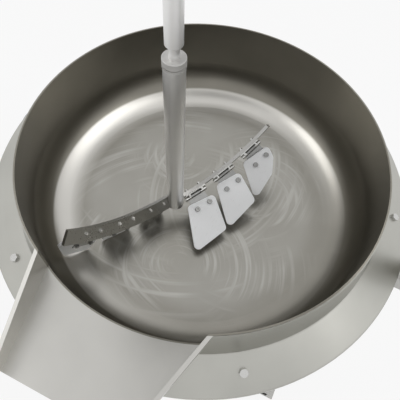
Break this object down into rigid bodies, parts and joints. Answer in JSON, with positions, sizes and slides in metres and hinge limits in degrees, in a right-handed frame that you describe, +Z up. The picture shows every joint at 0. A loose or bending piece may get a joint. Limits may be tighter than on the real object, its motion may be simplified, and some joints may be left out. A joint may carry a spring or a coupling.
{
  "type": "steam jacketed kettle",
  "caption": "Tilting hemispherical cooking kettle with a steam jacket, pouring spout and a lifting planetary scraper stirrer.",
  "frame": {"origin": "on the floor, under the centre of the bowl and midway between the anchor bolts", "axes": "+Z up; the pouring spout points to -Y; the tilt trunnions lie along X"},
  "size_m": [1.512, 1.4206, 2.163],
  "materials": {
    "polished_steel": "mirror polished",
    "satin_steel": "satin",
    "white_plastic": "matte",
    "jacket_steel": "mill finish",
    "wool": "fibrous",
    "painted_grey": "semi gloss",
    "cast": "cast",
    "gear_steel": "machined",
    "bronze": "machined",
    "black_plastic": "semi gloss"
  },
  "bodies": {
    "base": {"base_frame": "satin_steel", "anchor_plates": "satin_steel", "pedestals": "satin_steel", "trunnion_bearings": "painted_grey", "tilt_gear_case": "painted_grey"},
    "kettle": {"inner_bowl": "polished_steel", "rim_apron": "polished_steel", "pouring_spout": "polished_steel", "steam_jacket": "jacket_steel", "insulation": "wool", "outer_cladding": "satin_steel", "apron_brackets": "satin_steel", "apron_bolts": "polished_steel", "trunnions": "satin_steel", "stub_beam": "satin_steel", "jacket_pipes": "satin_steel", "ball_valve_bodies": "bronze", "steam_inlet_flange": "satin_steel", "safety_valve": "bronze", "pressure_gauge": "satin_steel", "worm_wheel": "bronze", "lift_post": "satin_steel", "post_bush": "bronze", "lift_cylinder": "painted_grey"},
    "lift": {"lift_tube": "satin_steel", "lift_rod": "satin_steel", "arm_beam": "satin_steel", "head_housing": "satin_steel", "carrier_bearing": "bronze", "ring_gear": "gear_steel", "head_gearbox": "painted_grey", "motor": "painted_grey", "motor_fan_cover": "painted_grey"},
    "carrier": {"planet_carrier": "gear_steel"},
    "mixer": {"planet_gear": "gear_steel", "upper_sleeve": "polished_steel", "collar_ring": "cast", "stirrer_shaft": "polished_steel", "stirrer_arms": "polished_steel", "arm_hinge_leaves": "polished_steel", "hinge_pins": "polished_steel", "hinge_bolts": "polished_steel"},
    "tilt_handwheel": {"worm_shaft": "satin_steel", "handwheel": "satin_steel", "handwheel_grip": "black_plastic"},
    "steam_lever": {"steam_valve_lever": "satin_steel"},
    "condensate_lever": {"condensate_valve_lever": "satin_steel"},
    "safety_lever": {"safety_valve_lever": "satin_steel"},
    "scraper_right_1_body": {"scraper_right_1": "white_plastic", "scraper_leaf_right_1": "satin_steel"},
    "scraper_right_2_body": {"scraper_right_2": "white_plastic", "scraper_leaf_right_2": "satin_steel"},
    "scraper_right_3_body": {"scraper_right_3": "white_plastic", "scraper_leaf_right_3": "satin_steel"},
    "scraper_left_1_body": {"scraper_left_1": "white_plastic", "scraper_leaf_left_1": "satin_steel"},
    "scraper_left_2_body": {"scraper_left_2": "white_plastic", "scraper_leaf_left_2": "satin_steel"},
    "scraper_left_3_body": {"scraper_left_3": "white_plastic", "scraper_leaf_left_3": "satin_steel"}
  },
  "joints": [
    {"name": "kettle_tilt", "type": "hinge", "parent": "base", "child": "kettle", "pos_m": [0, 0, 0.82], "axis": [1, 0, 0], "range_deg": [0, 90]},
    {"name": "head_lift", "type": "slide", "parent": "kettle", "child": "lift", "axis": [0, 0, 1], "range_m": [0, 0.45]},
    {"name": "carrier_turn", "type": "hinge", "parent": "lift", "child": "carrier", "pos_m": [0, 0, 1.7], "axis": [0, 0, 1], "continuous": true},
    {"name": "stirrer_spin", "type": "hinge", "parent": "carrier", "child": "mixer", "pos_m": [-0.05715, -0.06692, 1.7], "axis": [0, 0, 1], "continuous": true},
    {"name": "handwheel_turn", "type": "hinge", "parent": "base", "child": "tilt_handwheel", "pos_m": [-0.644, -0.35, 0.755], "axis": [0, 1, 0], "range_deg": [0, 3600]},
    {"name": "steam_valve_turn", "type": "hinge", "parent": "kettle", "child": "steam_lever", "pos_m": [-0.06982, 0.66434, 0.912], "axis": [0, 0, 1], "range_deg": [0, 90]},
    {"name": "condensate_valve_turn", "type": "hinge", "parent": "kettle", "child": "condensate_lever", "pos_m": [0.062, 0, 0.618], "axis": [1, 0, 0], "range_deg": [0, 90]},
    {"name": "safety_valve_test", "type": "hinge", "parent": "kettle", "child": "safety_lever", "pos_m": [0.25624, 0.57553, 0.903], "axis": [0.9135, -0.4067, 0], "range_deg": [0, 20]},
    {"name": "scraper_right_1_hinge", "type": "hinge", "parent": "mixer", "child": "scraper_right_1_body", "pos_m": [-0.0127, -0.01487, 0.86381], "axis": [-0.4784, -0.8739, -0.0861], "range_deg": [0, 18]},
    {"name": "scraper_right_2_hinge", "type": "hinge", "parent": "mixer", "child": "scraper_right_2_body", "pos_m": [0.04013, 0.08162, 0.88628], "axis": [-0.4563, -0.8335, -0.3115], "range_deg": [0, 18]},
    {"name": "scraper_right_3_hinge", "type": "hinge", "parent": "mixer", "child": "scraper_right_3_body", "pos_m": [0.09055, 0.17372, 0.93516], "axis": [-0.4082, -0.7457, -0.5266], "range_deg": [0, 18]},
    {"name": "scraper_left_1_hinge", "type": "hinge", "parent": "mixer", "child": "scraper_left_1_body", "pos_m": [-0.10161, -0.11896, 0.86381], "axis": [0.4784, 0.8739, -0.0861], "range_deg": [0, 18]},
    {"name": "scraper_left_2_hinge", "type": "hinge", "parent": "mixer", "child": "scraper_left_2_body", "pos_m": [-0.15443, -0.21545, 0.88628], "axis": [0.4563, 0.8335, -0.3115], "range_deg": [0, 18]},
    {"name": "scraper_left_3_hinge", "type": "hinge", "parent": "mixer", "child": "scraper_left_3_body", "pos_m": [-0.20486, -0.30755, 0.93516], "axis": [0.4082, 0.7457, -0.5266], "range_deg": [0, 18]}
  ],
  "couplings": [
    {"joint": "stirrer_spin", "follows": "carrier_turn", "ratio": -3},
    {"joint": "handwheel_turn", "follows": "kettle_tilt", "ratio": 40}
  ]
}
